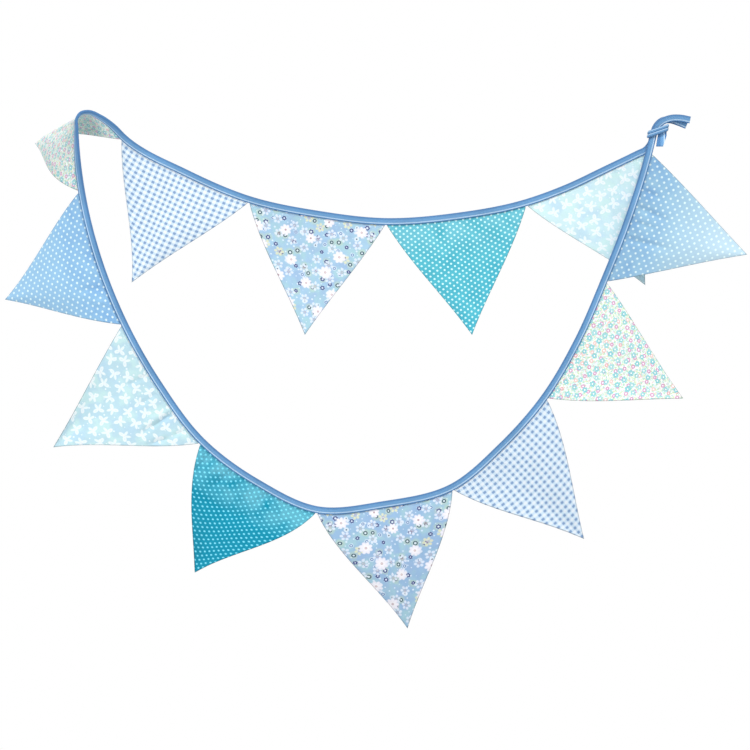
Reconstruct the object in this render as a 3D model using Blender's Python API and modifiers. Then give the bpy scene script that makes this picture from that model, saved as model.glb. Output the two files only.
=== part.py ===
"""A fabric bunting: twelve double-sided cotton flags sewn into one folded bias tape.

The tape hangs in two swags, a back one and a front one. They share a turn at the left, and the
tape's two ends are tied together at the right. The flags are numbered along the tape, from the
tie along the back swag, round the turn, and back along the front swag.

Metres, +Z up, the front faces -Y. The origin is the middle of the tie.
"""

import math
from collections import namedtuple

import bpy
import numpy as np

MM = 0.001

# Cloth
FLAG_CLOTH = 1.0 * MM  # two turned and pressed layers, as one sheet
FLAG_HEIGHT = 157.0 * MM  # from the tape's open edge to the tip, laid flat
TAPE_CLOTH = 1.0 * MM  # one leaf of the folded tape
TAPE_WIDTH = 8.6 * MM  # from the tape's fold to its open edges
LAYER_GAP = 0.54 * MM  # between a leaf of the tape and the flag inside it
SEAM_DEPTH = 6.4 * MM  # how far a flag reaches into the tape
SEAM_LIP = 1.0 * MM  # a flag stays flat this far below the open edges
JOIN_GAP = 3.0 * MM  # between neighbouring flags, along the tape

# Mesh
FLAG_ROWS = 9
TURNED_FLAG_ROWS = 20
END_STEP = 4.0 * MM  # between the sections of the tape's plain ends
ROUTE_SAMPLES = 40  # on each stretch between two knots of the route
ROUTE_REACH = 0.6 * MM  # to each side, for the route's direction
FOLD_STEPS = 2  # round the tape's fold

# The tape's middle line in mm, with its depth behind the front swag. Tilt is the turn of the
# tape's open edges, in degrees: 0 below a tape that runs left, 90 behind it, and 180 below a
# tape that runs right. A flag name marks where that flag starts.
Knot = namedtuple("Knot", "x z depth tilt flag")
ROUTE = (
    Knot(36, 4.5, 4.5, 0, ""),
    Knot(26, 8.5, 5, 0, ""),
    Knot(14, 12, 5.5, 0, ""),
    Knot(4, 10.5, 5.8, 0, ""),
    Knot(-3.5, 3, 6, 0, ""),
    Knot(-7, -7.5, 6, 0, ""),
    Knot(-10, -18.5, 6.5, 0, ""),
    Knot(-16.5, -27, 7, 0, "flag_01"),
    Knot(-27.5, -32.5, 9, 0, ""),
    Knot(-68, -52, 13, 0, ""),
    Knot(-121, -77, 14, 0, ""),
    Knot(-173.5, -96, 15, 0, "flag_02"),
    Knot(-266.5, -114, 16, 0, ""),
    Knot(-356, -120.5, 16, 0, "flag_03"),
    Knot(-444.5, -111, 16, 0, ""),
    Knot(-534, -92, 15, 0, "flag_04"),
    Knot(-616.5, -57.5, 13, 4, ""),
    Knot(-699, -10.5, 11, 20, "flag_05"),
    Knot(-712.5, 3.5, 10.5, 38, ""),
    Knot(-729.5, 16, 10.5, 57, ""),
    Knot(-744.5, 22.5, 11, 73, ""),
    Knot(-754.5, 21, 10.5, 84, ""),
    Knot(-759.5, 14.5, 9, 94, ""),
    Knot(-760, 1.5, 7, 107, ""),
    Knot(-759.5, -21, 4.5, 124, ""),
    Knot(-757.5, -47, 2.5, 139, ""),
    Knot(-753, -81, 1, 153, "flag_06"),
    Knot(-732, -167.5, 0, 172, ""),
    Knot(-697.5, -254, -1, 178, "flag_07"),
    Knot(-652.5, -333, -2, 180, ""),
    Knot(-596, -407.5, -3, 180, "flag_08"),
    Knot(-523.5, -461.5, -4, 180, ""),
    Knot(-446, -496.5, -4, 180, "flag_09"),
    Knot(-360, -490, -4, 180, ""),
    Knot(-270.5, -467.5, -3, 180, "flag_10"),
    Knot(-205.5, -414, -2, 180, ""),
    Knot(-149, -349.5, -1, 180, "flag_11"),
    Knot(-105.5, -275.5, 0, 180, ""),
    Knot(-71.5, -198, 0, 180, "flag_12"),
    Knot(-40, -117.5, 0, 180, ""),
    Knot(-13, -31, 0, 180, "end"),
    Knot(-10, -19, 0, 180, ""),
    Knot(-7.6, -8, 0, 180, ""),
    Knot(-3.6, 2, 0, 180, ""),
    Knot(4.5, 9.5, 0, 180, ""),
    Knot(14.5, 13.5, 0, 180, ""),
    Knot(27.5, 14, -0.5, 180, ""),
    Knot(40.5, 11.5, -1, 180, ""),
)

# One row a flag, in mm. The tip's depth is behind the front swag. The bows swell a side edge
# outwards, or draw it in, half way down. Crown is how far the middle bellies backwards, and wave
# is a ripple from one side to the other.
Flag = namedtuple("Flag", "name tip_x tip_z tip_depth start_bow end_bow crown wave")
FLAGS = (
    Flag("flag_01", -17, -203.5, 22, -3, -4, 3, 2),
    Flag("flag_02", -243.5, -268.5, 20, -2, -2, -3, 2),
    Flag("flag_03", -462, -268.5, 10, -1.5, -1.5, 3, -2),
    Flag("flag_04", -688.5, -200, 20, -3, -7, -3, -2.5),
    Flag("flag_05", -821.5, -13.5, 140, 18, 0, 0, 0),
    Flag("flag_06", -855, -222, 35, -5, -2, -4, 2),
    Flag("flag_07", -789.5, -415, -10, -2, -5, 5, 3),
    Flag("flag_08", -604.5, -577.5, -34, 2.5, -3.5, 6, 2),
    Flag("flag_09", -328, -651.5, 6, -3.5, -1, -5, -2),
    Flag("flag_10", -98, -534.5, -9, -3.5, 0.5, 4, 3),
    Flag("flag_11", 31, -351.5, -14, 0, -2.5, 4, 2),
    Flag("flag_12", 114.5, -164, -9, -2, 0, -4, -2),
)

# The wrap is a short band of the tape, wound round both ends. The loop hangs out of it.
WRAP_CENTRE = (-1.35 * MM, 2.6 * MM, -2.6 * MM)
WRAP_HALF_LENGTH = 13.3 * MM
WRAP_HALF_DEPTH = 7.6 * MM
WRAP_SLANT = math.radians(19)
WRAP_LEAN = math.radians(8)  # how far its ends lean to the right
WRAP_WIDTH = 9.0 * MM
WRAP_RIDGE = 0.8 * MM  # how far each of its two turns stands out
WRAP_CLOTH = 1.1 * MM
WRAP_STEPS = 32
WRAP_SQUARENESS = 4  # the exponent of its superellipse

LOOP_LEFT = -0.8 * MM
LOOP_WIDTH = 10.6 * MM
LOOP_SHOULDER = -9.0 * MM  # where its right edge starts to slant inwards
LOOP_TAPER = 4.6 * MM  # how far that edge slants by its turn
LOOP_LEAN = 3.1 * MM  # how far its left edge slants to the left
LOOP_TOP = -3.0 * MM
LOOP_BOTTOM = -22.5 * MM
LOOP_DEPTH = 0.75 * MM  # the middle of its two leaves
LOOP_HALF_GAP = 1.1 * MM  # from there to the middle of each leaf
LOOP_CLOTH = 1.0 * MM
LOOP_TURN_STEPS = 6
LOOP_LEAF_STEPS = 4

TAPE_BLUE = (0.16, 0.34, 0.64)
# Print grounds, in linear colour, repeated along the tape.
PRINT_COLOURS = (
    ("bow_print", (0.60, 0.79, 0.89)),
    ("teal_dot_print", (0.06, 0.42, 0.55)),
    ("daisy_print", (0.42, 0.60, 0.83)),
    ("gingham_print", (0.55, 0.70, 0.88)),
    ("small_flower_print", (0.78, 0.88, 0.86)),
    ("blue_dot_print", (0.38, 0.58, 0.85)),
)


def clear_scene():
    for obj in list(bpy.data.objects):
        bpy.data.objects.remove(obj, do_unlink=True)


def cloth_material(name, colour):
    material = bpy.data.materials.new(name)
    material.use_nodes = True
    shader = material.node_tree.nodes["Principled BSDF"]
    shader.inputs["Base Color"].default_value = (*colour, 1.0)
    shader.inputs["Roughness"].default_value = 0.85
    shader.inputs["Metallic"].default_value = 0.0
    return material


def sheet_object(name, rows, thickness, material, collection, ring=False):
    """A cloth of this thickness on rows of points. A row may be one point shorter than the last."""
    starts = np.cumsum([0] + [len(row) for row in rows])
    pairs = list(zip(range(len(rows)), range(1, len(rows))))
    if ring:
        pairs.append((len(rows) - 1, 0))
    faces = []
    for upper, lower in pairs:
        top, bottom = starts[upper], starts[lower]
        narrows = len(rows[lower]) < len(rows[upper])
        for i in range(len(rows[upper]) - 1):
            if not narrows:
                faces.append((top + i, top + i + 1, bottom + i + 1, bottom + i))
                continue
            faces.append((top + i, top + i + 1, bottom + i))
            if i:
                faces.append((top + i, bottom + i, bottom + i - 1))
    mesh = bpy.data.meshes.new(name)
    mesh.from_pydata([tuple(point) for row in rows for point in row], [], faces)
    mesh.materials.append(material)
    mesh.shade_smooth()
    obj = bpy.data.objects.new(name, mesh)
    collection.objects.link(obj)
    solidify = obj.modifiers.new("cloth", "SOLIDIFY")
    solidify.thickness = thickness
    solidify.offset = 0.0
    solidify.use_even_offset = True
    solidify.use_quality_normals = True
    return obj


class Tape:
    """The route's smooth curve, read by length along the tape, with a frame at each place."""

    def __init__(self, knots):
        points = np.array([(k.x * MM, k.depth * MM, k.z * MM, math.radians(k.tilt)) for k in knots])
        chords = np.linalg.norm(np.diff(points[:, :3], axis=0), axis=1)
        slopes = np.diff(points, axis=0) / chords[:, None]
        before, after = chords[:-1, None], chords[1:, None]
        inner = (slopes[:-1] * after + slopes[1:] * before) / (before + after)
        tangents = np.vstack([slopes[:1], inner, slopes[-1:]])
        samples = [points[:1]]
        for i, chord in enumerate(chords):
            t = np.linspace(0, 1, ROUTE_SAMPLES + 1)[1:, None]
            samples.append(
                points[i] * (2 * t**3 - 3 * t**2 + 1)
                + points[i + 1] * (3 * t**2 - 2 * t**3)
                + tangents[i] * chord * (t**3 - 2 * t**2 + t)
                + tangents[i + 1] * chord * (t**3 - t**2)
            )
        self.samples = np.vstack(samples)
        steps = np.linalg.norm(np.diff(self.samples[:, :3], axis=0), axis=1)
        self.lengths = np.concatenate([[0.0], np.cumsum(steps)])
        self.flag_starts = {
            knot.flag: self.lengths[i * ROUTE_SAMPLES] for i, knot in enumerate(knots) if knot.flag
        }

    def place(self, s):
        return np.array([np.interp(s, self.lengths, self.samples[:, i]) for i in range(3)])

    def frame(self, s):
        """(place, along, across, out): across points from the fold to the open edges."""
        along = self.place(s + ROUTE_REACH) - self.place(s - ROUTE_REACH)
        along /= np.linalg.norm(along)
        tilt = np.interp(s, self.lengths, self.samples[:, 3])
        sideways = np.array([-along[2], 0.0, along[0]])
        sideways /= np.linalg.norm(sideways)
        across = math.cos(tilt) * sideways + math.sin(tilt) * np.array([0.0, 1.0, 0.0])
        across -= along * (across @ along)
        across /= np.linalg.norm(across)
        return self.place(s), along, across, np.cross(along, across)


def flag_span(tape, index):
    """Where a flag's base starts and ends, in length along the tape."""
    names = [flag.name for flag in FLAGS] + ["end"]
    start, end = (tape.flag_starts[name] for name in names[index : index + 2])
    return start + JOIN_GAP / 2, end - JOIN_GAP / 2


def flag_rows(flag):
    return TURNED_FLAG_ROWS if flag.name == "flag_05" else FLAG_ROWS


def flag_point(tape, flag, span, u, v):
    """A flag's point: u runs along its base from its start, and v from the tape to its tip."""
    base_length = span[1] - span[0]
    place, along, across, _ = tape.frame(span[0] + u * base_length)
    base = place + across * (TAPE_WIDTH / 2 + SEAM_LIP)
    tip = np.array([flag.tip_x, flag.tip_depth, flag.tip_z]) * MM
    to_foot = (0.5 - u) * base_length
    flat = math.hypot(to_foot, FLAG_HEIGHT)
    heading = along * (to_foot / flat) + across * (FLAG_HEIGHT / flat)
    way = tip - base
    point = base + way * v + (heading * flat - way) * v * (1 - v) ** 2
    swell = 4 * v * (1 - v) * MM
    for bow, end, share in ((flag.start_bow, 0, (1 - u) ** 2), (flag.end_bow, 1, u**2)):
        corner = tape.place(span[end])
        other = tape.place(span[1 - end])
        edge = (tip - corner) / np.linalg.norm(tip - corner)
        outward = (corner - other) - edge * ((corner - other) @ edge)
        point = point + outward / np.linalg.norm(outward) * bow * share * swell
    depth = flag.crown * math.sin(math.pi * u) + flag.wave * math.sin(2 * math.pi * u)
    return point + np.array([0.0, depth * swell, 0.0])


def add_flag(tape, index, material, collection):
    """One triangular sheet, whose top strip stands flat between the tape's leaves."""
    flag = FLAGS[index]
    span = flag_span(tape, index)
    count = flag_rows(flag)
    stations = np.linspace(*span, count + 1)
    rows = []
    for across_at in (TAPE_WIDTH / 2 - SEAM_DEPTH, 0.0):
        frames = [tape.frame(s) for s in stations]
        rows.append([place + across * across_at for place, _, across, _ in frames])
    for row in range(count + 1):
        cells = count - row
        us = np.linspace(0, 1, cells + 1) if cells else [0.5]
        rows.append([flag_point(tape, flag, span, u, row / count) for u in us])
    return sheet_object(flag.name, rows, FLAG_CLOTH, material, collection)


def tape_section():
    """(across, out) points of the folded tape's middle surface, from one open edge to the other."""
    half = LAYER_GAP + (FLAG_CLOTH + TAPE_CLOTH) / 2
    fold = -TAPE_WIDTH / 2 + half
    leaf = [(TAPE_WIDTH / 2, half), (0.0, half)]
    turn = [math.pi * (0.5 + i / FOLD_STEPS) for i in range(FOLD_STEPS + 1)]
    arc = [(fold + half * math.cos(angle), half * math.sin(angle)) for angle in turn]
    return leaf + arc + [(across, -out) for across, out in reversed(leaf)]


def add_binding(tape, material, collection):
    """The whole tape, with a section at every place where a flag inside it has a point."""
    stations = []
    for index, flag in enumerate(FLAGS):
        stations.extend(np.linspace(*flag_span(tape, index), flag_rows(flag) + 1))
    for start, end in ((0.0, stations[0]), (stations[-1], tape.lengths[-1])):
        count = round((end - start) / END_STEP)
        stations.extend(np.linspace(start, end, count + 1))
    section = tape_section()
    rows = []
    for s in sorted(set(stations)):
        place, _, across, out = tape.frame(s)
        rows.append([place + across * a + out * o for a, o in section])
    return sheet_object("binding", rows, TAPE_CLOTH, material, collection)


def add_wrap(material, collection):
    """A slanted closed band with two ridges, one for each turn."""
    centre = np.array(WRAP_CENTRE)
    lengthwise = np.array([math.cos(WRAP_SLANT), 0.0, math.sin(WRAP_SLANT)])
    widthwise = np.array([math.sin(WRAP_LEAN), 0.0, math.cos(WRAP_LEAN)])
    profile = ((-0.5, 0.0), (-0.25, WRAP_RIDGE), (0.0, 0.0), (0.25, WRAP_RIDGE), (0.5, 0.0))
    rows = []
    for i in range(WRAP_STEPS):
        angle = 2 * math.pi * i / WRAP_STEPS
        cos, sin = math.cos(angle), math.sin(angle)
        power = 2 / WRAP_SQUARENESS
        side = math.copysign(abs(cos) ** power, cos)
        back = math.copysign(abs(sin) ** power, sin)
        row = []
        for across, ridge in profile:
            flat = lengthwise * side * (WRAP_HALF_LENGTH + ridge)
            deep = np.array([0.0, back * (WRAP_HALF_DEPTH + ridge), 0.0])
            row.append(centre + flat + deep + widthwise * across * WRAP_WIDTH)
        rows.append(row)
    return sheet_object("tie_wrap", rows, WRAP_CLOTH, material, collection, ring=True)


def add_loop(material, collection):
    """A short length of tape doubled over, with its turn at the bottom."""
    turn_centre = LOOP_BOTTOM + LOOP_HALF_GAP
    leaf = np.linspace(LOOP_TOP, turn_centre, LOOP_LEAF_STEPS + 1)[:-1]
    path = [(-LOOP_HALF_GAP, z) for z in leaf]
    for i in range(LOOP_TURN_STEPS + 1):
        angle = math.pi * (1 + i / LOOP_TURN_STEPS)
        path.append((LOOP_HALF_GAP * math.cos(angle), turn_centre + LOOP_HALF_GAP * math.sin(angle)))
    path.extend((LOOP_HALF_GAP, z) for z in leaf[::-1])
    rows = []
    for y, z in path:
        slant = max(0.0, (LOOP_SHOULDER - z) / (LOOP_SHOULDER - LOOP_BOTTOM))
        left = LOOP_LEFT - LOOP_LEAN * (LOOP_TOP - z) / (LOOP_TOP - LOOP_BOTTOM)
        right = LOOP_LEFT + LOOP_WIDTH - LOOP_TAPER * slant
        rows.append([(x, LOOP_DEPTH + y, z) for x in (left, (left + right) / 2, right)])
    return sheet_object("tie_loop", rows, LOOP_CLOTH, material, collection)


def build():
    clear_scene()
    collection = bpy.data.collections.new("fabric_bunting")
    bpy.context.scene.collection.children.link(collection)
    tape_material = cloth_material("bias_tape", TAPE_BLUE)
    prints = [cloth_material(name, colour) for name, colour in PRINT_COLOURS]
    tape = Tape(ROUTE)
    for index in range(len(FLAGS)):
        add_flag(tape, index, prints[index % len(prints)], collection)
    add_binding(tape, tape_material, collection)
    add_wrap(tape_material, collection)
    add_loop(tape_material, collection)


build()
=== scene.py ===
"""Looks of the fabric bunting: its cloth, prints, stitching, light and camera."""

import math
from collections import namedtuple

import bpy
import mathutils
import numpy as np
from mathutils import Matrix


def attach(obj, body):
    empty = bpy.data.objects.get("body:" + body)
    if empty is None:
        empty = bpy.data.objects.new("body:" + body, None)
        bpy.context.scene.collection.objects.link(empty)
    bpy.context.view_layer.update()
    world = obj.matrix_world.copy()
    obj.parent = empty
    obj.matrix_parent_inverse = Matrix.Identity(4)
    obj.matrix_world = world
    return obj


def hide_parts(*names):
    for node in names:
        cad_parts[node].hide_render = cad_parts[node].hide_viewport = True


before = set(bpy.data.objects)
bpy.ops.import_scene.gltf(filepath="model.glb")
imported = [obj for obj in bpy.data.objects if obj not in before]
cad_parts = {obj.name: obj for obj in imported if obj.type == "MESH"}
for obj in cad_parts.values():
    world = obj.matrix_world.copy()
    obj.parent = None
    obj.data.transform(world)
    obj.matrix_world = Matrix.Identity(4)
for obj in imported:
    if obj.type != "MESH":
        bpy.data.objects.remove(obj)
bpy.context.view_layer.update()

MM = 0.001

# ---------------------------------------------------------------- the cloth, as in the CAD model
FLAG_CLOTH = 0.9 * MM
FLAG_HEIGHT = 157.0 * MM
TAPE_CLOTH = 0.9 * MM
TAPE_WIDTH = 8.6 * MM
LEAF_OFFSET = 1.54 * MM  # from the tape's middle plane to the middle of each leaf
SEAM_DEPTH = 6.4 * MM
SEAM_LIP = 1.0 * MM
JOIN_GAP = 3.0 * MM
ROUTE_SAMPLES = 40
ROUTE_REACH = 0.6 * MM

LEAF_PLACES = (0, 0.5, 1.0, 1.4, 1.7, 2.0, 2.3, 2.7, 3.2, 4.2, 5.4, 6.6)  # mm from the open edge
LEAF_CROWN = 0.12 * MM
STITCH_LINE = 1.85 * MM  # from the open edge
STITCH_GROOVE = 0.22 * MM
STITCH_GROOVE_WIDTH = 0.4 * MM
PUCKER = 0.05  # how far the tape swells and shrinks, as a share of its thickness
PUCKER_WAVES = (0.83, 0.31)  # radians for each mm along it

FLAG_CELLS = 72  # along each side of a flag
TAPE_STEP = 2.4 * MM
BACK_SWAG_FLAGS = 5  # on these first flags the tape's out direction points to the front

# The tape's middle line in mm, with its depth behind the front swag. Tilt is the turn of the
# tape's open edges, in degrees. A flag name marks where that flag starts.
Knot = namedtuple("Knot", "x z depth tilt flag")
ROUTE = (
    Knot(36, 4.5, 4.5, 0, ""),
    Knot(26, 8.5, 5, 0, ""),
    Knot(14, 12, 5.5, 0, ""),
    Knot(4, 10.5, 5.8, 0, ""),
    Knot(-3.5, 3, 6, 0, ""),
    Knot(-7, -7.5, 6, 0, ""),
    Knot(-10, -18.5, 6.5, 0, ""),
    Knot(-16.5, -27, 7, 0, "flag_01"),
    Knot(-27.5, -32.5, 9, 0, ""),
    Knot(-68, -52, 13, 0, ""),
    Knot(-121, -77, 14, 0, ""),
    Knot(-173.5, -96, 15, 0, "flag_02"),
    Knot(-266.5, -114, 16, 0, ""),
    Knot(-356, -120.5, 16, 0, "flag_03"),
    Knot(-444.5, -111, 16, 0, ""),
    Knot(-534, -92, 15, 0, "flag_04"),
    Knot(-616.5, -57.5, 13, 4, ""),
    Knot(-699, -10.5, 11, 20, "flag_05"),
    Knot(-712.5, 3.5, 10.5, 38, ""),
    Knot(-729.5, 16, 10.5, 57, ""),
    Knot(-744.5, 22.5, 11, 73, ""),
    Knot(-754.5, 21, 10.5, 84, ""),
    Knot(-759.5, 14.5, 9, 94, ""),
    Knot(-760, 1.5, 7, 107, ""),
    Knot(-759.5, -21, 4.5, 124, ""),
    Knot(-757.5, -47, 2.5, 139, ""),
    Knot(-753, -81, 1, 153, "flag_06"),
    Knot(-732, -167.5, 0, 172, ""),
    Knot(-697.5, -254, -1, 178, "flag_07"),
    Knot(-652.5, -333, -2, 180, ""),
    Knot(-596, -407.5, -3, 180, "flag_08"),
    Knot(-523.5, -461.5, -4, 180, ""),
    Knot(-446, -496.5, -4, 180, "flag_09"),
    Knot(-360, -490, -4, 180, ""),
    Knot(-270.5, -467.5, -3, 180, "flag_10"),
    Knot(-205.5, -414, -2, 180, ""),
    Knot(-149, -349.5, -1, 180, "flag_11"),
    Knot(-105.5, -275.5, 0, 180, ""),
    Knot(-71.5, -198, 0, 180, "flag_12"),
    Knot(-40, -117.5, 0, 180, ""),
    Knot(-13, -31, 0, 180, "end"),
    Knot(-10, -19, 0, 180, ""),
    Knot(-7.6, -8, 0, 180, ""),
    Knot(-3.6, 2, 0, 180, ""),
    Knot(4.5, 9.5, 0, 180, ""),
    Knot(14.5, 13.5, 0, 180, ""),
    Knot(27.5, 14, -0.5, 180, ""),
    Knot(40.5, 11.5, -1, 180, ""),
)

# One row a flag, in mm. The ground is its print's colour, and the last two numbers are painted light
# and shade: brightness factors painted into its colour near the tape and at its tip.
Flag = namedtuple(
    "Flag", "name tip_x tip_z tip_depth start_bow end_bow crown wave ground near_tone tip_tone"
)
FLAGS = (
    Flag("flag_01", -17, -203.5, 22, -3, -4, 3, 2, (206, 234, 239), 0.99, 1.0),
    Flag("flag_02", -243.5, -268.5, 20, -2, -2, -3, 2, (88, 190, 208), 0.97, 1.08),
    Flag("flag_03", -462, -268.5, 10, -1.5, -1.5, 3, -2, (168, 204, 228), 0.98, 1.0),
    Flag("flag_04", -688.5, -200, 20, -3, -7, -3, -2.5, (240, 247, 252), 0.98, 0.98),
    Flag("flag_05", -821.5, -13.5, 140, 18, 0, 0, 0, (250, 253, 252), 0.9, 1.14),
    Flag("flag_06", -855, -222, 35, -5, -2, -4, 2, (150, 196, 230), 0.96, 0.99),
    Flag("flag_07", -789.5, -415, -10, -2, -5, 5, 3, (188, 220, 231), 0.97, 0.96),
    Flag("flag_08", -604.5, -577.5, -34, 2.5, -3.5, 6, 2, (2, 140, 170), 1.06, 0.88),
    Flag("flag_09", -328, -651.5, 6, -3.5, -1, -5, -2, (154, 189, 222), 0.97, 0.88),
    Flag("flag_10", -98, -534.5, -9, -3.5, 0.5, 4, 3, (232, 241, 250), 0.94, 0.87),
    Flag("flag_11", 31, -351.5, -14, 0, -2.5, 4, 2, (252, 253, 250), 1.0, 1.0),
    Flag("flag_12", 114.5, -164, -9, -2, 0, -4, -2, (160, 203, 230), 0.83, 1.1),
)

# Soft creases in mm on the flat flag: along the base from its start, and down from the tape.
# A positive height stands out towards the front.
Crease = namedtuple("Crease", "flag from_along from_down to_along to_down height width")
CREASES = (
    Crease("flag_07", 131, -2, 132, 54, -4.4, 3.0),
    Crease("flag_07", 124, 0, 126, 40, 2.0, 4.0),
    Crease("flag_07", 159, -2, 154, 24, -3.2, 2.6),
    Crease("flag_07", 154, 28, 147, 60, -3.2, 2.8),
    Crease("flag_07", 72, -2, 69, 34, -2.6, 2.8),
    Crease("flag_07", 98, 4, 100, 38, -2.2, 2.8),
    Crease("flag_08", 16, -2, 20, 40, -3.4, 3.2),
    Crease("flag_08", 34, -2, 34, 46, 2.0, 5),
    Crease("flag_08", 52, -2, 46, 34, -3.2, 3.2),
    Crease("flag_08", 84, -2, 78, 32, 1.8, 5),
    Crease("flag_08", 108, -2, 98, 28, -2.6, 3.2),
    Crease("flag_08", 26, 62, 120, 40, -2.4, 9),
    Crease("flag_06", 128, -2, 118, 40, -2.2, 4.5),
    Crease("flag_06", 150, -2, 136, 26, 1.8, 4),
    Crease("flag_09", 150, -2, 136, 34, 1.8, 5),
    Crease("flag_12", 60, -2, 64, 60, -3.0, 4.5),
    Crease("flag_12", 84, -2, 84, 34, -2.0, 3),
    Crease("flag_12", 104, -2, 98, 46, -3.0, 4),
    Crease("flag_12", 128, -2, 122, 30, -2.4, 3.2),
    Crease("flag_02", 128, -2, 120, 34, -1.4, 5),
    Crease("flag_04", 40, -2, 44, 34, -1.4, 5),
    Crease("flag_01", 46, -2, 52, 40, -1.4, 6),
)
CREASE_START = 7.0 * MM  # down from the tape, where a crease has its full height

WRAP_CENTRE = (-1.35 * MM, 2.6 * MM, -2.6 * MM)
WRAP_HALF_LENGTH = 13.3 * MM
WRAP_HALF_DEPTH = 7.6 * MM
WRAP_SLANT = math.radians(19)
WRAP_LEAN = math.radians(8)
WRAP_WIDTH = 9.0 * MM
WRAP_TURNS = 2
WRAP_RIDGE = 1.1 * MM
WRAP_STEPS = 96
WRAP_SQUARENESS = 4
WRAP_CELLS = 20

LOOP_LEFT = -0.8 * MM
LOOP_WIDTH = 10.6 * MM
LOOP_SHOULDER = -9.0 * MM  # where its right edge starts to slant inwards
LOOP_TAPER = 4.6 * MM  # how far that edge slants by its turn
LOOP_LEAN = 3.1 * MM
LOOP_TOP = -3.0 * MM
LOOP_BOTTOM = -22.5 * MM
LOOP_DEPTH = 0.75 * MM
LOOP_HALF_GAP = 1.1 * MM
LOOP_STEP = 1.6 * MM  # between its rows, on the flat tape

# ---------------------------------------------------------------- colours, as sRGB from 0 to 255
TAPE_BLUE = (110, 159, 205)
# the tape's painted highlight and painted shade colours
TAPE_PAINTED_HIGHLIGHT = (190, 219, 243)
TAPE_PAINTED_SHADE = (64, 112, 166)
DOT_SOFTNESS = 0.9  # mm, round a printed dot


def linear(colour):
    parts = np.array(colour) / 255
    return tuple(np.where(parts < 0.04045, parts / 12.92, ((parts + 0.055) / 1.055) ** 2.4))


def unit(vectors):
    return vectors / np.linalg.norm(vectors, axis=-1, keepdims=True)


class Tape:
    """The route's smooth curve, read by length along the tape, with a frame at each place."""

    def __init__(self, knots):
        points = np.array([(k.x * MM, k.depth * MM, k.z * MM, math.radians(k.tilt)) for k in knots])
        chords = np.linalg.norm(np.diff(points[:, :3], axis=0), axis=1)
        slopes = np.diff(points, axis=0) / chords[:, None]
        before, after = chords[:-1, None], chords[1:, None]
        inner = (slopes[:-1] * after + slopes[1:] * before) / (before + after)
        tangents = np.vstack([slopes[:1], inner, slopes[-1:]])
        samples = [points[:1]]
        for i, chord in enumerate(chords):
            t = np.linspace(0, 1, ROUTE_SAMPLES + 1)[1:, None]
            samples.append(
                points[i] * (2 * t**3 - 3 * t**2 + 1)
                + points[i + 1] * (3 * t**2 - 2 * t**3)
                + tangents[i] * chord * (t**3 - 2 * t**2 + t)
                + tangents[i + 1] * chord * (t**3 - t**2)
            )
        self.samples = np.vstack(samples)
        steps = np.linalg.norm(np.diff(self.samples[:, :3], axis=0), axis=1)
        self.lengths = np.concatenate([[0.0], np.cumsum(steps)])
        self.flag_starts = {
            knot.flag: self.lengths[i * ROUTE_SAMPLES] for i, knot in enumerate(knots) if knot.flag
        }

    def read(self, s):
        return np.stack([np.interp(s, self.lengths, part) for part in self.samples.T], axis=-1)

    def frames(self, s):
        """(place, along, across, out), one row for each length in s."""
        here = self.read(s)
        along = unit(self.read(s + ROUTE_REACH)[:, :3] - self.read(s - ROUTE_REACH)[:, :3])
        sideways = unit(np.stack([-along[:, 2], 0 * along[:, 0], along[:, 0]], axis=-1))
        tilt = here[:, 3:]
        across = np.cos(tilt) * sideways + np.sin(tilt) * np.array([0.0, 1.0, 0.0])
        across = unit(across - along * np.sum(along * across, axis=1, keepdims=True))
        return here[:, :3], along, across, np.cross(along, across)

    def span(self, index):
        names = [flag.name for flag in FLAGS] + ["end"]
        start, end = (self.flag_starts[name] for name in names[index : index + 2])
        return start + JOIN_GAP / 2, end - JOIN_GAP / 2


# ---------------------------------------------------------------- cloth meshes
def cloth(name, rows, flat_rows, thickness, material, ring=False):
    """A sheet on rows of points. flat_rows holds each point's place on the flat cloth. A row may
    be one point shorter than the last."""
    starts = np.cumsum([0] + [len(row) for row in rows])
    pairs = list(zip(range(len(rows)), range(1, len(rows))))
    if ring:
        pairs.append((len(rows) - 1, 0))
    faces = []
    for upper, lower in pairs:
        top, bottom = int(starts[upper]), int(starts[lower])
        narrows = len(rows[lower]) < len(rows[upper])
        for i in range(len(rows[upper]) - 1):
            if not narrows:
                faces.append((top + i, top + i + 1, bottom + i + 1, bottom + i))
                continue
            faces.append((top + i, top + i + 1, bottom + i))
            if i:
                faces.append((top + i, bottom + i, bottom + i - 1))
    mesh = bpy.data.meshes.new(name)
    mesh.from_pydata(np.vstack(rows).tolist(), [], faces)
    corners = np.array([loop.vertex_index for loop in mesh.loops])
    flat = np.vstack(flat_rows)
    for layer, columns in (("cloth", flat[:, :2]), ("edge", flat[:, 2:])):
        uv = mesh.uv_layers.new(name=layer)
        uv.data.foreach_set("uv", columns[corners].ravel())
    mesh.materials.append(material)
    mesh.shade_smooth()
    obj = bpy.data.objects.new(name, mesh)
    bpy.context.scene.collection.objects.link(obj)
    solidify = obj.modifiers.new("cloth", "SOLIDIFY")
    solidify.thickness = thickness
    solidify.offset = 0.0
    solidify.use_even_offset = True
    bevel = obj.modifiers.new("edge", "BEVEL")
    bevel.width = thickness * 0.3
    bevel.segments = 2
    bevel.limit_method = "ANGLE"
    bevel.angle_limit = math.radians(50)
    return obj


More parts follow.
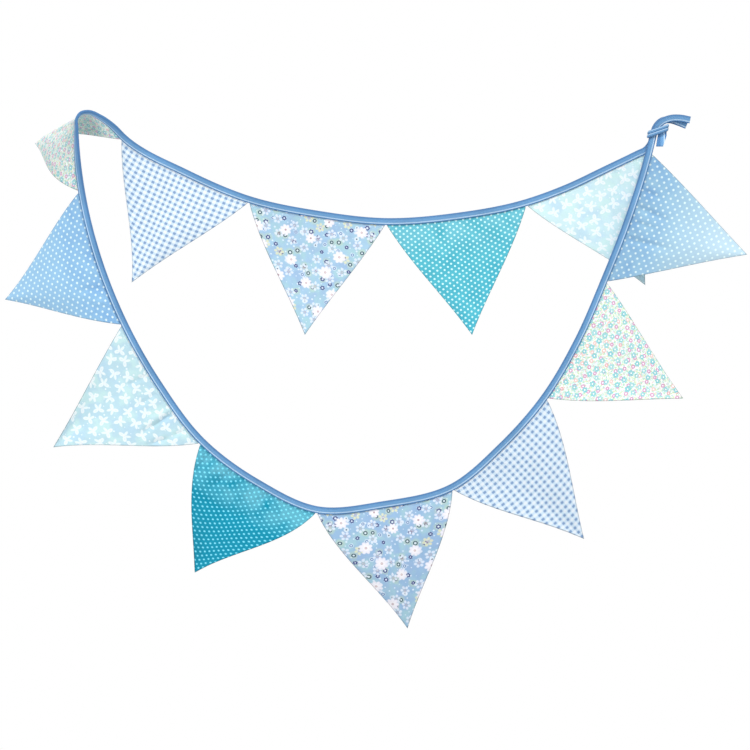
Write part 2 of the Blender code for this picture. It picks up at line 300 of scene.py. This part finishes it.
def crease_height(flag, along, down):
    """How far the flag's creases lift each of its flat points towards the front."""
    lift = np.zeros_like(along)
    for crease in CREASES:
        if crease.flag != flag.name:
            continue
        start = np.array([crease.from_along, crease.from_down])
        way = np.array([crease.to_along, crease.to_down]) - start
        length = np.linalg.norm(way)
        x, y = along / MM - start[0], down / MM - start[1]
        t = (x * way[0] + y * way[1]) / length**2
        off = (x * way[1] - y * way[0]) / length
        # full over most of its length, and softer towards each end
        ends = np.clip(t * 4 + 0.5, 0, 1) * np.clip((1 - t) * 2 + 0.2, 0, 1)
        lift += crease.height * MM * ends * np.exp(-((off / crease.width) ** 2))
    return lift * np.clip(down / CREASE_START, 0, 1)


def flag_points(tape, index, u, v):
    """The flag's points for arrays u, along its base from its start, and v, towards its tip."""
    flag = FLAGS[index]
    span = tape.span(index)
    base_length = span[1] - span[0]
    place, along, across, out = tape.frames(span[0] + u * base_length)
    base = place + across * (TAPE_WIDTH / 2 + SEAM_LIP)
    tip = np.array([flag.tip_x, flag.tip_depth, flag.tip_z]) * MM
    to_foot = ((0.5 - u) * base_length)[:, None]
    flat = np.hypot(to_foot, FLAG_HEIGHT)
    heading = along * (to_foot / flat) + across * (FLAG_HEIGHT / flat)
    way = tip - base
    down = v[:, None]
    points = base + way * down + (heading * flat - way) * down * (1 - down) ** 2
    swell = 4 * v * (1 - v) * MM
    ends = tape.read(np.array(span))[:, :3]
    for bow, end, share in ((flag.start_bow, 0, (1 - u) ** 2), (flag.end_bow, 1, u**2)):
        edge = unit(tip - ends[end])
        outward = ends[end] - ends[1 - end]
        outward = unit(outward - edge * (outward @ edge))
        points = points + outward * (bow * share * swell)[:, None]
    depth = flag.crown * np.sin(math.pi * u) + flag.wave * np.sin(2 * math.pi * u)
    points[:, 1] += depth * swell
    flat_along = (u * (1 - v) + 0.5 * v) * base_length
    flat_down = v * FLAG_HEIGHT
    front = out if index < BACK_SWAG_FLAGS else -out
    points += front * crease_height(flag, flat_along, flat_down)[:, None]
    return points, flat_along, flat_down


def make_flag(tape, index, material):
    flag = FLAGS[index]
    span = tape.span(index)
    base_length = span[1] - span[0]
    half_angle = math.atan2(base_length / 2, FLAG_HEIGHT)
    rows, flat_rows = [], []

    def flat_row(along, down):
        start = (along * math.cos(half_angle)) - down * math.sin(half_angle)
        end = (base_length - along) * math.cos(half_angle) - down * math.sin(half_angle)
        return np.stack([along, down, np.minimum(start, end), down], axis=-1)

    us = np.linspace(0, 1, FLAG_CELLS + 1)
    for across_at in (TAPE_WIDTH / 2 - SEAM_DEPTH, 0.0):
        place, _, across, _ = tape.frames(span[0] + us * base_length)
        rows.append(place + across * across_at)
        down = np.full_like(us, across_at - TAPE_WIDTH / 2 - SEAM_LIP)
        flat_rows.append(flat_row(us * base_length, down))
    for row in range(FLAG_CELLS + 1):
        cells = FLAG_CELLS - row
        us = np.linspace(0, 1, cells + 1) if cells else np.array([0.5])
        points, along, down = flag_points(tape, index, us, np.full_like(us, row / FLAG_CELLS))
        rows.append(points)
        flat_rows.append(flat_row(along, down))
    piece = cloth(f"{flag.name}_cloth", rows, flat_rows, FLAG_CLOTH, material)
    area = base_length * FLAG_HEIGHT / 2
    return piece


def tape_profile():
    """(across, out) points of the folded tape's middle surface, with the stitches' groove."""
    half, edge = LEAF_OFFSET, TAPE_WIDTH / 2
    fold = -edge + half
    places = edge - np.array(LEAF_PLACES) * MM
    off_line = (edge - STITCH_LINE - places) / STITCH_GROOVE_WIDTH
    groove = STITCH_GROOVE * np.exp(-(off_line**2))
    crown = LEAF_CROWN * np.sin(math.pi * (places - fold) / (edge - fold))
    leaf = list(zip(places, half - groove + crown))
    turn = np.linspace(math.pi / 2, 3 * math.pi / 2, 7)
    arc = [(fold + half * math.cos(a), half * math.sin(a)) for a in turn]
    return np.array(leaf + arc + [(across, -out) for across, out in reversed(leaf)])


def make_binding(tape, material):
    """The whole tape, from one free end to the other."""
    length = tape.lengths[-1]
    stations = np.linspace(0, length, round(length / TAPE_STEP) + 1)
    place, _, across, out = tape.frames(stations)
    profile = tape_profile()
    rows, flat_rows = [], []
    for i, s in enumerate(stations):
        quick, slow = (s / MM * wave for wave in PUCKER_WAVES)
        pucker = 1 + PUCKER * math.sin(quick) * math.sin(slow + 1)
        rows.append(
            place[i] + np.outer(profile[:, 0], across[i]) + np.outer(profile[:, 1] * pucker, out[i])
        )
        flat = np.zeros((len(profile), 4))
        flat[:, 0] = s
        flat[:, 1] = profile[:, 0]
        flat[:, 2] = min(s, length - s)
        flat_rows.append(flat)
    piece = cloth("binding_tape", rows, flat_rows, TAPE_CLOTH, material)
    return piece


def make_wrap(material):
    """Two turns of the tape wound round both ends."""
    centre = np.array(WRAP_CENTRE)
    lengthwise = np.array([math.cos(WRAP_SLANT), 0.0, math.sin(WRAP_SLANT)])
    widthwise = np.array([math.sin(WRAP_LEAN), 0.0, math.cos(WRAP_LEAN)])
    power = 2 / WRAP_SQUARENESS
    places = np.linspace(-0.5, 0.5, WRAP_CELLS + 1)
    ridge = WRAP_RIDGE * np.abs(np.sin(math.pi * WRAP_TURNS * (places + 0.5))) ** 0.6
    rows, flat_rows = [], []
    for i in range(WRAP_STEPS):
        angle = 2 * math.pi * i / WRAP_STEPS
        side = math.copysign(abs(math.cos(angle)) ** power, math.cos(angle))
        back = math.copysign(abs(math.sin(angle)) ** power, math.sin(angle))
        row = centre + np.outer(places * WRAP_WIDTH, widthwise)
        row += np.outer(side * (WRAP_HALF_LENGTH + ridge), lengthwise)
        row[:, 1] += back * (WRAP_HALF_DEPTH + ridge)
        flat = np.zeros((len(places), 4))
        flat[:, 0] = angle * WRAP_HALF_LENGTH
        flat[:, 1] = ((places + 0.5) * WRAP_TURNS % 1 - 0.5) * TAPE_WIDTH
        rows.append(row)
        flat_rows.append(flat)
    piece = cloth("tie_wrap_tape", rows, flat_rows, TAPE_CLOTH, material, ring=True)
    return piece


def make_loop(material):
    """A short length of tape doubled over, with its turn at the bottom."""
    turn_centre = LOOP_BOTTOM + LOOP_HALF_GAP
    leaf = np.linspace(LOOP_TOP, turn_centre, 13)[:-1]
    turn = np.linspace(math.pi, 2 * math.pi, 9)
    path = [(-LOOP_HALF_GAP, z) for z in leaf]
    path += [(LOOP_HALF_GAP * math.cos(a), turn_centre + LOOP_HALF_GAP * math.sin(a)) for a in turn]
    path += [(LOOP_HALF_GAP, z) for z in leaf[::-1]]
    rows, flat_rows = [], []
    for i, (y, z) in enumerate(path):
        slant = max(0.0, (LOOP_SHOULDER - z) / (LOOP_SHOULDER - LOOP_BOTTOM))
        left = -LOOP_LEAN * (LOOP_TOP - z) / (LOOP_TOP - LOOP_BOTTOM)
        xs = np.linspace(left, LOOP_WIDTH - LOOP_TAPER * slant, 13)
        rows.append(np.array([(LOOP_LEFT + x, LOOP_DEPTH + y, z) for x in xs]))
        flat_rows.append(np.array([(i * LOOP_STEP, x - LOOP_WIDTH / 2, 0, 0) for x in xs]))
    piece = cloth("tie_loop_tape", rows, flat_rows, TAPE_CLOTH, material)
    return piece


# ---------------------------------------------------------------- numbers in a material's nodes
class Value:
    """A number that a material's nodes work out."""

    def __init__(self, tree, socket):
        self.tree = tree
        self.socket = socket

    def do(self, operation, *others, clamp=False):
        node = self.tree.nodes.new("ShaderNodeMath")
        node.operation = operation
        node.use_clamp = clamp
        for slot, value in zip(node.inputs, (self, *others)):
            if isinstance(value, Value):
                self.tree.links.new(value.socket, slot)
            else:
                slot.default_value = value
        return Value(self.tree, node.outputs[0])

    def __add__(self, other):
        return self.do("ADD", other)

    def __sub__(self, other):
        return self.do("SUBTRACT", other)

    def __mul__(self, other):
        return self.do("MULTIPLY", other)

    def __truediv__(self, other):
        return self.do("DIVIDE", other)

    def above(self, edge, soft):
        """0 under the edge and 1 over it, over a soft width."""
        return ((self - edge) / soft).do("ADD", 0.5, clamp=True)

    def below(self, edge, soft):
        return (self.above(edge, soft) * -1) + 1

    def most(self, other):
        return self.do("MAXIMUM", other)


def distance(x, y):
    return (x * x + y * y).do("SQRT")


def turned(x, y, angle):
    """x and y after a turn by an angle, a plain number or a Value."""
    if isinstance(angle, Value):
        cos, sin = angle.do("COSINE"), angle.do("SINE")
    else:
        cos, sin = math.cos(angle), math.sin(angle)
    return x * cos + y * sin, y * cos - x * sin


class Cloth:
    """A cloth material in the making: its colour so far, and its place in mm on the flat cloth."""

    def __init__(self, name, ground, tone):
        self.material = bpy.data.materials.new(name)
        self.material.use_nodes = True
        self.tree = self.material.node_tree
        self.shader = self.tree.nodes["Principled BSDF"]
        self.tone = tone
        self.x, self.y = self.flat_place("cloth")
        self.side, self.down = self.flat_place("edge")
        self.colour = self.colour_node(ground)

    def node(self, kind):
        return self.tree.nodes.new(kind)

    def flat_place(self, layer):
        uv = self.node("ShaderNodeUVMap")
        uv.uv_map = layer
        parts = self.node("ShaderNodeSeparateXYZ")
        self.tree.links.new(uv.outputs[0], parts.inputs[0])
        return tuple(Value(self.tree, socket) / MM for socket in parts.outputs[:2])

    def colour_node(self, colour):
        node = self.node("ShaderNodeRGB")
        node.outputs[0].default_value = (*linear(colour), 1)
        return node.outputs[0]

    def vector(self, x, y):
        node = self.node("ShaderNodeCombineXYZ")
        self.tree.links.new(x.socket, node.inputs[0])
        self.tree.links.new(y.socket, node.inputs[1])
        return node.outputs[0]

    def noise(self, size, detail=2, shift=0.0):
        """Smooth noise from about 0 to 1 with lumps of this size in mm."""
        node = self.node("ShaderNodeTexNoise")
        node.noise_dimensions = "2D"
        node.inputs["Scale"].default_value = 1 / size
        node.inputs["Detail"].default_value = detail
        self.tree.links.new(self.vector(self.x + shift, self.y), node.inputs["Vector"])
        return Value(self.tree, node.outputs["Fac"])

    def paint(self, colour, mask):
        """Lays a colour over the cloth where the mask is 1."""
        mix = self.node("ShaderNodeMix")
        mix.data_type = "RGBA"
        self.tree.links.new(mask.socket, mix.inputs["Factor"])
        self.tree.links.new(self.colour, mix.inputs[6])
        self.tree.links.new(self.colour_node(colour), mix.inputs[7])
        self.colour = mix.outputs[2]

    def cells(self, size, angle, jitter, shift=0.0):
        """Staggered tiles with one motif each. Returns x and y from the motif's middle, and three
        random numbers from 0 to 1 that are the same all over a tile."""
        x, y = turned(self.x + shift, self.y + shift * 0.7, angle)
        row = (y / size).do("FLOOR")
        x = x + row * (size * 0.5)
        column = (x / size).do("FLOOR")
        random = self.node("ShaderNodeTexWhiteNoise")
        random.noise_dimensions = "2D"
        self.tree.links.new(self.vector(column + shift, row), random.inputs["Vector"])
        parts = self.node("ShaderNodeSeparateColor")
        self.tree.links.new(random.outputs["Color"], parts.inputs[0])
        first, second, third = (Value(self.tree, socket) for socket in parts.outputs)
        local_x = x - (column + 0.5) * size - (first - 0.5) * (2 * jitter)
        local_y = y - (row + 0.5) * size - (second - 0.5) * (2 * jitter)
        return local_x, local_y, first, second, third

    def dots(self, along, down, radius):
        """A staggered lattice of dots, with this spacing in a row and this one between rows."""
        masks = []
        for shift in (0, 1):
            x = (self.x + shift * along / 2).do("PINGPONG", along / 2)
            y = (self.y + shift * down).do("PINGPONG", down)
            masks.append(distance(x, y).below(radius, DOT_SOFTNESS))
        return masks[0].most(masks[1])

    def finish(self, weave_size=0.35, weave_angle=0.0, weave_depth=0.05, sheen=0.25):
        """Adds the weave, soft unevenness with its painted shading, and the painted tone, and joins
        everything to the shader.
        """
        x, y = turned(self.x, self.y, weave_angle)
        warp = (x * (math.pi / weave_size)).do("SINE")
        weft = (y * (math.pi / weave_size)).do("SINE")
        weave = warp * weft
        threads = weave * weave
        slub = self.noise(1.6, detail=1)
        crumple = self.noise(26, detail=3, shift=40)
        # painted shading: the crumple noise that shapes the bump also lightens and darkens the
        # colour by up to 4%, and the painted tone adds painted light and shade
        shade = (crumple - 0.5) * 0.08 + threads * 0.05 + (slub - 0.5) * 0.06 + self.tone_and_painted_shade()
        shaded = self.node("ShaderNodeVectorMath")
        shaded.operation = "SCALE"
        self.tree.links.new(self.colour, shaded.inputs[0])
        self.tree.links.new(shade.socket, shaded.inputs["Scale"])
        self.tree.links.new(shaded.outputs[0], self.shader.inputs["Base Color"])
        bump = self.node("ShaderNodeBump")
        bump.inputs["Strength"].default_value = 0.6
        bump.inputs["Distance"].default_value = MM
        height = threads * weave_depth + slub * 0.05 + crumple * 1.1 + self.relief()
        self.tree.links.new(height.socket, bump.inputs["Height"])
        self.tree.links.new(bump.outputs[0], self.shader.inputs["Normal"])
        self.shader.inputs["Roughness"].default_value = 0.86
        self.shader.inputs["Specular IOR Level"].default_value = 0.2
        self.shader.inputs["Sheen Weight"].default_value = sheen
        self.shader.inputs["Sheen Roughness"].default_value = 0.5
        return self.material

    def tone_and_painted_shade(self):
        """Painted light and shade: the painted tone from the tape to the tip, and painted shade
        along the side edges.
        """
        near, far = self.tone
        level = (self.down / (FLAG_HEIGHT / MM)).do("SMOOTH_MIN", 1.0, 0.1) * (far - near) + near
        # painted shade: the colour is 0.42 darker within about 0.7 mm of each side edge
        return level - self.side.below(0.7, 0.6) * 0.42

    def relief(self):
        """The pressed side edges, with the seam allowance inside them."""
        allowance = self.side.below(6.5, 1.2) * 0.10
        edge = self.side.above(0.9, 1.0) * 0.25
        return allowance + edge


# ---------------------------------------------------------------- the prints
def petals(x, y, angle, count, middle, length, width):
    """Distance in the petals' own scale: 1 on the outline of a ring of oval petals."""
    far = distance(x, y)
    turn = ((y.do("ARCTAN2", x) + angle) + 8 * math.pi).do("PINGPONG", math.pi / count)
    return distance((far * turn.do("COSINE") - middle) / length, far * turn.do("SINE") / width)


def bow_print(cloth_name, ground, tone):
    """White bows and specks tossed on pale aqua."""
    c = Cloth(cloth_name, ground, tone)
    c.paint((184, 216, 236), c.noise(26).above(0.57, 0.2) * 0.55)
    c.paint((206, 238, 234), c.noise(20, shift=90).above(0.58, 0.2) * 0.6)
    x, y, first, _, third = c.cells(10.5, angle=0.5, shift=7, jitter=3)
    c.paint((236, 248, 252), distance(x, y).below(third * 0.7 + 0.6, 0.6) * first.above(0.3, 0.02))
    x, y, _, _, third = c.cells(18, angle=0.2, jitter=2.4)
    x, y = turned(x, y, third * (2 * math.pi))
    x = x.do("ABSOLUTE")
    loop_x, loop_y = turned(x - 3.6, y - 1.9, 0.5)
    loop = distance(loop_x / 3.8, loop_y / 2.3)
    tail_x, tail_y = turned(x - 2.3, y + 3.6, -1.1)
    tail = distance(tail_x / 3.9, tail_y / 1.65)
    c.paint((242, 250, 250), tail.below(1.0, 0.4) * 0.8)
    c.paint((244, 250, 251), loop.below(1.0, 0.4) * 0.88)
    c.paint((218, 238, 244), loop.below(0.45, 0.4) * 0.7)
    c.paint((232, 240, 244), distance(x, y).below(1.3, 0.6))
    return c.finish()


def teal_dot_print(cloth_name, ground, tone):
    """Small white dots on teal, with a painted highlight near the tape."""
    c = Cloth(cloth_name, ground, tone)
    c.paint((24, 152, 180), c.noise(22).above(0.5, 0.4) * 0.35)
    # painted highlight: pale cloudy patches within about 34 mm of the tape
    c.paint((130, 204, 220), c.noise(30, shift=60).above(0.42, 0.3) * c.down.below(34, 36) * 0.5)
    dot = tuple(min(255, part + lift) for part, lift in zip(ground, (128, 88, 80)))
    c.paint(dot, c.dots(9.2, 3.8, 1.28))
    return c.finish(sheen=0.1)


def daisy_print(cloth_name, ground, tone):
    """White daisies, small rings and specks on sky blue."""
    c = Cloth(cloth_name, ground, tone)
    c.paint((172, 212, 218), c.noise(22).above(0.55, 0.2) * 0.7)
    c.paint((158, 186, 224), c.noise(18, shift=70).above(0.57, 0.2) * 0.6)
    x, y, first, second, _ = c.cells(6.8, angle=0.8, shift=17, jitter=1.9)
    c.paint((222, 236, 250), distance(x, y).below(second * 0.9 + 0.4, 0.6) * first.above(0.35, 0.02))
    x, y, first, second, third = c.cells(11, angle=0.35, jitter=2.2)
    far = distance(x, y)
    radius = second * 0.8 + 1.5
    scallop = (y.do("ARCTAN2", x) * 6).do("COSINE") * 0.3
    navy = third.above(0.82, 0.01)
    green = third.above(0.66, 0.01) * third.below(0.82, 0.01)
    blue = third.above(0.46, 0.01) * third.below(0.66, 0.01)
    eye = third.above(0.36, 0.01) * third.below(0.46, 0.01)
    c.paint((206, 222, 170), far.below(5, 4) * (green + navy * first.above(0.6, 0.02)) * 0.4)
    c.paint((232, 242, 250), far.below(radius + 0.9, 0.8) * (navy + green + blue + eye) * 0.8)
    c.paint((42, 58, 132), (far - radius + scallop).do("ABSOLUTE").below(0.8, 0.5) * navy)
    c.paint((38, 84, 100), (far - radius).do("ABSOLUTE").below(0.7, 0.5) * green)
    c.paint((84, 128, 184), (far - 1.5).do("ABSOLUTE").below(0.5, 0.5) * blue)
    c.paint((54, 62, 92), far.below(0.9, 0.5) * eye)
    x, y, first, _, third = c.cells(19, angle=-0.4, shift=61, jitter=3.2)
    blobs = petals(x, y, third * 6, 6, 4.2, 1.9, 1.7)
    c.paint((228, 236, 250), blobs.below(1.0, 0.35) * 0.85)
    c.paint((222, 220, 150), blobs.below(1.0, 0.35) * first.below(0.12, 0.01) * 0.6)
    c.paint((196, 176, 186), (distance(x, y) - 1.3).do("ABSOLUTE").below(0.5, 0.5) * 0.7)
    x, y, _, second, third = c.cells(34, angle=0.9, shift=3, jitter=6.5)
    scale = second * 0.25 + 0.9
    x, y = x / scale, y / scale
    daisy = petals(x, y, third * 6, 8, 4.3, 3.2, 2.1)
    c.paint((244, 242, 250), daisy.below(1.0, 0.3))
    c.paint((226, 224, 240), daisy.above(0.55, 0.5) * daisy.below(1.0, 0.3) * 0.35)
    c.paint((248, 246, 250), distance(x, y).below(3.4, 0.8))
    c.paint((188, 160, 170), distance(x, y).below(1.35, 0.8))
    c.paint((240, 228, 224), distance(x, y).below(0.7, 0.5) * third.above(0.5, 0.1))
    return c.finish()


def gingham_print(cloth_name, ground, tone):
    """Woven checks of white and pale blue."""
    c = Cloth(cloth_name, ground, tone)
    along = c.x.do("PINGPONG", 4.0).above(2.1, 1.0)
    down = c.y.do("PINGPONG", 3.55).above(1.85, 1.0)
    c.paint((208, 228, 244), along.most(down))
    c.paint((132, 163, 203), along * down)
    return c.finish()


def small_flower_print(cloth_name, ground, tone):
    """Small turquoise flowers, pink rings and green leaves on white."""
    c = Cloth(cloth_name, ground, tone)
    c.paint((226, 240, 246), c.noise(14).above(0.52, 0.3) * 0.7)
    kinds = (
        (4.6, 0.7, 11, (196, 226, 172)),
        (5.6, -0.5, 47, (226, 232, 184)),
        (6.4, 1.2, 83, (238, 206, 220)),
        (5.0, 0.2, 29, (170, 220, 212)),
    )
    for size, angle, shift, colour in kinds:
        x, y, first, _, third = c.cells(size, angle=angle, shift=shift, jitter=1.3)
        leaf_x, leaf_y = turned(x, y, third * 6.28)
        leaf = distance(leaf_x / 1.7, leaf_y / 0.75).below(1.0, 0.5) * first.below(0.55, 0.02)
        curl = (distance(x, y) - 1.2).do("ABSOLUTE").below(0.35, 0.4) * first.above(0.55, 0.02)
        c.paint(colour, leaf.most(curl * 0.8))
    x, y, first, second, _ = c.cells(11.5, angle=-0.2, shift=5, jitter=2.4)
    ring = (distance(x, y) - (second * 0.5 + 1.6)).do("ABSOLUTE").below(0.75, 0.5)
    c.paint((250, 248, 250), distance(x, y).below(2.2, 0.5))
    c.paint((218, 156, 196), ring * first.above(0.2, 0.02))
    c.paint((240, 186, 178), ring * first.below(0.3, 0.02) * 0.8)
    x, y, first, second, third = c.cells(12, angle=0.35, shift=31, jitter=2.6)
    scale = second * 0.3 + 0.85
    flower = petals(x / scale, y / scale, third * 6, 5, 2.3, 1.5, 1.45)
    c.paint((106, 196, 206), flower.below(1.0, 0.4) * (first * 0.45 + 0.55))
    c.paint((172, 228, 230), flower.below(0.55, 0.4) * 0.8)
    c.paint((104, 186, 198), distance(x, y).below(1.7, 0.6) * (first * 0.4 + 0.5))
    c.paint((250, 253, 250), distance(x, y).below(1.15, 0.5))
    return c.finish()


def blue_dot_print(cloth_name, ground, tone):
    """White dots on pale blue, with painted shade near the tape and painted light towards the tip.
    """
    c = Cloth(cloth_name, ground, tone)
    # painted shade: darker blue patches within about 34 mm of the tape
    c.paint((130, 178, 224), c.noise(24).above(0.45, 0.4) * c.down.below(34, 50) * 0.8)
    # painted light: paler towards the tip, as strong as the flag's painted tone rises from tape to
    # tip
    c.paint((200, 221, 230), c.down.above(75, 90) * ((tone[1] - tone[0]) * 2.4))
    c.paint((230, 250, 252), c.dots(11.5, 4.83, 1.4))
    return c.finish()


class TapeCloth(Cloth):
    """Bias tape. Its painted tone is one number, a brightness factor, and its relief is the line of
    stitches.
    """

    stitch = None

    def tone_and_painted_shade(self):
        return self.noise(70) * 0.36 + (self.tone - 0.26)

    def relief(self):
        return self.stitch * 0.18


def tape_cloth(cloth_name, tone):
    """Blue bias tape with a pressed fold and a stitched line. Painted shade darkens the fold side
    and the open edge, and a painted highlight band runs beside the stitches.
    """
    c = TapeCloth(cloth_name, TAPE_BLUE, tone)
    across = c.y
    # painted shade along the fold side of the tape
    c.paint(TAPE_PAINTED_SHADE, across.below(-2.5, 1.8) * 0.7)
    # painted highlight band beside the stitch line
    c.paint(TAPE_PAINTED_HIGHLIGHT, (across - 2.2).do("ABSOLUTE").below(0.7, 0.5) * 0.85)
    # painted shade along the open edge; on the wrap these bands repeat as dark lines between the
    # turns
    c.paint(TAPE_PAINTED_SHADE, across.above(3.3, 0.5) * 0.9)
    thread = c.x.do("PINGPONG", 1.45).below(1.15, 0.25)
    c.stitch = thread * (across - 2.45).do("ABSOLUTE").below(0.28, 0.2)
    c.paint((206, 229, 252), c.stitch)
    return c.finish(weave_size=0.3, weave_angle=math.pi / 4, weave_depth=0.06)


PRINTS = (
    bow_print,
    teal_dot_print,
    daisy_print,
    gingham_print,
    small_flower_print,
    blue_dot_print,
)


def show(piece, node):
    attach(piece, "root")
    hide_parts(node)


# ---------------------------------------------------------------- light, floor and camera
MIDDLE = (-0.37, 0, -0.32)  # of the bunting, in m
FLOOR_HEIGHT = -1.9
FLOOR_RADIUS = 3.2
FLOOR_SIDES = 96
CAMERA_PLACE = (-0.3704, -8.0, -0.3208)
CAMERA_LENS = 294.5  # mm, long enough to see the bunting almost without perspective

Light = namedtuple("Light", "name place size power colour")
LIGHTS = (
    Light("key", (1.3, -3.4, 3.6), 1.5, 158, (1, 0.985, 0.965)),
    Light("fill", (-3.8, -3.0, 0.9), 2.4, 62, (0.98, 0.99, 1)),
    Light("back", (-0.4, 4.6, 2.4), 2.6, 110, (1, 1, 1)),
)


def add_floor():
    mesh = bpy.data.meshes.new("floor")
    angles = np.linspace(0, 2 * math.pi, FLOOR_SIDES + 1)[:-1]
    ring = [(FLOOR_RADIUS * math.cos(a), FLOOR_RADIUS * math.sin(a)) for a in angles]
    corners = [(x + MIDDLE[0], y, FLOOR_HEIGHT) for x, y in ring]
    mesh.from_pydata(corners, [], [list(range(FLOOR_SIDES))])
    floor = bpy.data.objects.new("floor", mesh)
    bpy.context.scene.collection.objects.link(floor)
    material = bpy.data.materials.new("pale_floor")
    material.use_nodes = True
    shader = material.node_tree.nodes["Principled BSDF"]
    shader.inputs["Base Color"].default_value = (0.86, 0.87, 0.88, 1)
    shader.inputs["Roughness"].default_value = 0.9
    mesh.materials.append(material)


def add_light(row):
    data = bpy.data.lights.new(row.name, "AREA")
    data.shape = "DISK"
    data.size = row.size
    data.energy = row.power
    data.color = row.colour
    light = bpy.data.objects.new(row.name, data)
    bpy.context.scene.collection.objects.link(light)
    way = np.array(MIDDLE) - np.array(row.place)
    light.location = row.place
    light.rotation_mode = "QUATERNION"
    light.rotation_quaternion = mathutils.Vector(way).to_track_quat("-Z", "Y")


def add_world():
    """White behind the object, and a softer light from all sides."""
    world = bpy.data.worlds.new("studio")
    bpy.context.scene.world = world
    world.use_nodes = True
    tree = world.node_tree
    back = tree.nodes["Background"]
    back.inputs["Color"].default_value = (1, 1, 1, 1)
    back.inputs["Strength"].default_value = 1.0
    soft = tree.nodes.new("ShaderNodeBackground")
    soft.inputs["Color"].default_value = (0.96, 0.98, 1, 1)
    place = tree.nodes.new("ShaderNodeTexCoord")
    parts = tree.nodes.new("ShaderNodeSeparateXYZ")
    tree.links.new(place.outputs["Generated"], parts.inputs[0])
    strength = Value(tree, parts.outputs["Z"]) * 0.2 + 0.5
    tree.links.new(strength.socket, soft.inputs["Strength"])
    path = tree.nodes.new("ShaderNodeLightPath")
    mix = tree.nodes.new("ShaderNodeMixShader")
    tree.links.new(path.outputs["Is Camera Ray"], mix.inputs[0])
    tree.links.new(soft.outputs[0], mix.inputs[1])
    tree.links.new(back.outputs[0], mix.inputs[2])
    tree.links.new(mix.outputs[0], tree.nodes["World Output"].inputs["Surface"])


def add_camera():
    data = bpy.data.cameras.new("camera")
    data.sensor_width = 36
    data.lens = CAMERA_LENS
    data.clip_end = 60
    camera = bpy.data.objects.new("camera", data)
    bpy.context.scene.collection.objects.link(camera)
    camera.location = CAMERA_PLACE
    camera.rotation_euler = (math.pi / 2, 0, 0)
    bpy.context.scene.camera = camera


tape = Tape(ROUTE)
for index, flag in enumerate(FLAGS):
    maker = PRINTS[index % len(PRINTS)]
    material = maker(f"{flag.name}_print", flag.ground, (flag.near_tone, flag.tip_tone))
    show(make_flag(tape, index, material), flag.name)
show(make_binding(tape, tape_cloth("binding_cloth", 1.0)), "binding")
show(make_wrap(tape_cloth("tie_wrap_cloth", 1.0)), "tie_wrap")
# painted light: the loop's tape is drawn 1.3 times as bright as the binding's
show(make_loop(tape_cloth("tie_loop_cloth", 1.3)), "tie_loop")

add_floor()
for row in LIGHTS:
    add_light(row)
add_world()
add_camera()
bpy.context.scene.view_settings.view_transform = "Standard"
